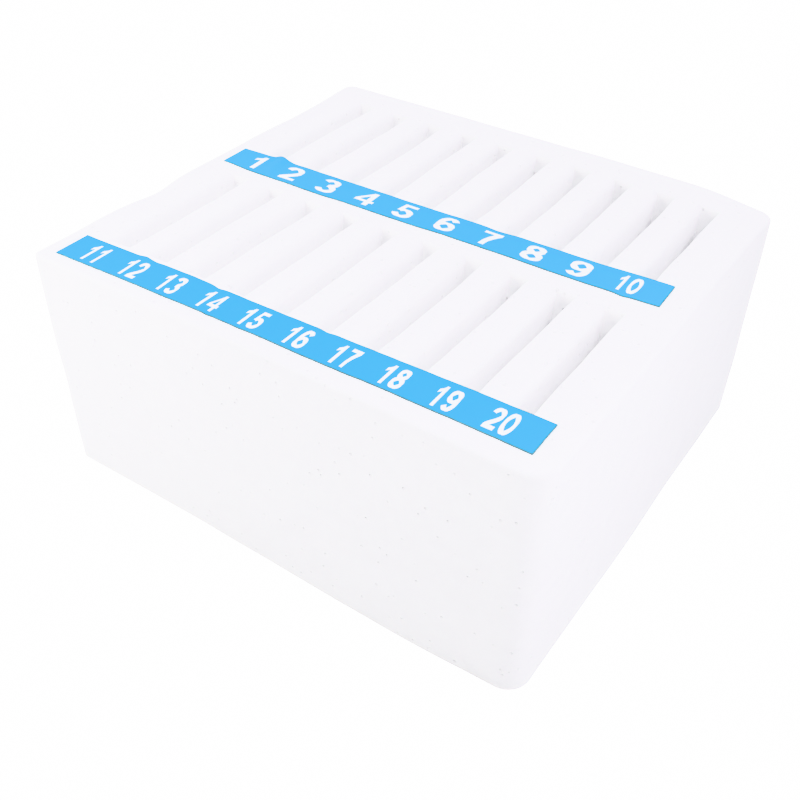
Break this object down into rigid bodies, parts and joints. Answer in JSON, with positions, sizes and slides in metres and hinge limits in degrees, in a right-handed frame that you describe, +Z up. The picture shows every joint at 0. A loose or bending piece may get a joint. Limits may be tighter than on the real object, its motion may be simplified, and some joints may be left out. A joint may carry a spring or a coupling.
{
  "type": "foam slot tray",
  "caption": "White foam block with rows of narrow upright pockets and a blue numbered strip in front of each row, for holding slim items on edge.",
  "frame": {"origin": "middle of the underside, on the surface that the tray stands on", "axes": "+X along the rows of pockets, from the lowest number to the highest; +Y from the front face, beside the strip with the higher numbers, to the rear; +Z up, out of the pockets"},
  "size_m": [0.278, 0.254, 0.1319],
  "materials": {
    "white_foam": "matt closed-cell polyethylene foam, white",
    "printed_strip": "semi-matt self-adhesive strip, blue with white numerals"
  },
  "bodies": {
    "root": {"base_sheet": "white_foam", "slotted_sheet_1": "white_foam", "slotted_sheet_2": "white_foam", "slotted_sheet_3": "white_foam", "slotted_sheet_4": "white_foam", "number_strip_front": "printed_strip", "number_strip_rear": "printed_strip"}
  },
  "joints": []
}
